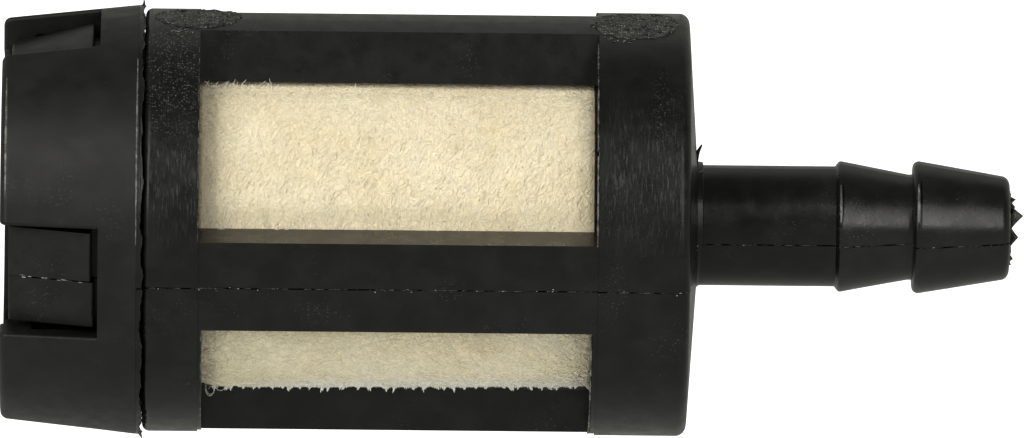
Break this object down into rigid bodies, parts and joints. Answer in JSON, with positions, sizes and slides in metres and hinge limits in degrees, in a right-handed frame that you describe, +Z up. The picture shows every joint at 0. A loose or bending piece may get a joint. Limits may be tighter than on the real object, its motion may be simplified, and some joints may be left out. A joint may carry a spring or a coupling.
{
  "type": "fuel filter",
  "caption": "In-tank fuel filter: a windowed black cage holds a felt sleeve under a clip-on end cap, with a double-barbed hose neck at the other end.",
  "frame": {"origin": "on the axis, at the middle of the plain hose neck", "axes": "+X along the filter's axis, out of the barbed end; the cap is towards -X; ribs and snap tongues stand on +Y, +Z, -Y and -Z, and the mould's parting plane is the XY plane; +Z up"},
  "size_m": [0.0383, 0.0162, 0.0162],
  "materials": {
    "black_nylon": "satin, as moulded",
    "cream_felt": "short matted fibre",
    "natural_nylon": "satin, as moulded",
    "nylon_mesh": "fine plain weave"
  },
  "bodies": {
    "cage": {"cage_body": "black_nylon", "support_core": "natural_nylon", "screen_sock": "nylon_mesh"},
    "cap": {"end_cap": "black_nylon"},
    "felt": {"felt_sleeve": "cream_felt"},
    "tongue_bottom": {"snap_tongue_bottom": "black_nylon"},
    "tongue_back": {"snap_tongue_back": "black_nylon"},
    "tongue_top": {"snap_tongue_top": "black_nylon"},
    "tongue_front": {"snap_tongue_front": "black_nylon"}
  },
  "joints": [
    {"name": "cap_pull", "type": "slide", "parent": "cage", "child": "cap", "axis": [-1, 0, 0], "range_m": [0, 0.056], "deforming": ["snap_tongue_bottom", "snap_tongue_back", "snap_tongue_top", "snap_tongue_front"]},
    {"name": "felt_draw", "type": "slide", "parent": "cage", "child": "felt", "axis": [-1, 0, 0], "range_m": [0, 0.0252]},
    {"name": "tongue_flex_bottom", "type": "hinge", "parent": "cage", "child": "tongue_bottom", "pos_m": [-0.02372, 0, -0.00645], "axis": [0, 1, 0], "range_deg": [0, 6.5], "stiffness_Nm_per_rad": 0.4},
    {"name": "tongue_flex_back", "type": "hinge", "parent": "cage", "child": "tongue_back", "pos_m": [-0.02372, 0.00645, 0], "axis": [0, 0, 1], "range_deg": [0, 6.5], "stiffness_Nm_per_rad": 0.4},
    {"name": "tongue_flex_top", "type": "hinge", "parent": "cage", "child": "tongue_top", "pos_m": [-0.02372, 0, 0.00645], "axis": [0, -1, 0], "range_deg": [0, 6.5], "stiffness_Nm_per_rad": 0.4},
    {"name": "tongue_flex_front", "type": "hinge", "parent": "cage", "child": "tongue_front", "pos_m": [-0.02372, -0.00645, 0], "axis": [0, 0, -1], "range_deg": [0, 6.5], "stiffness_Nm_per_rad": 0.4}
  ],
  "couplings": [
    {"joint": "felt_draw", "follows": "cap_pull", "ratio": 0.45}
  ]
}
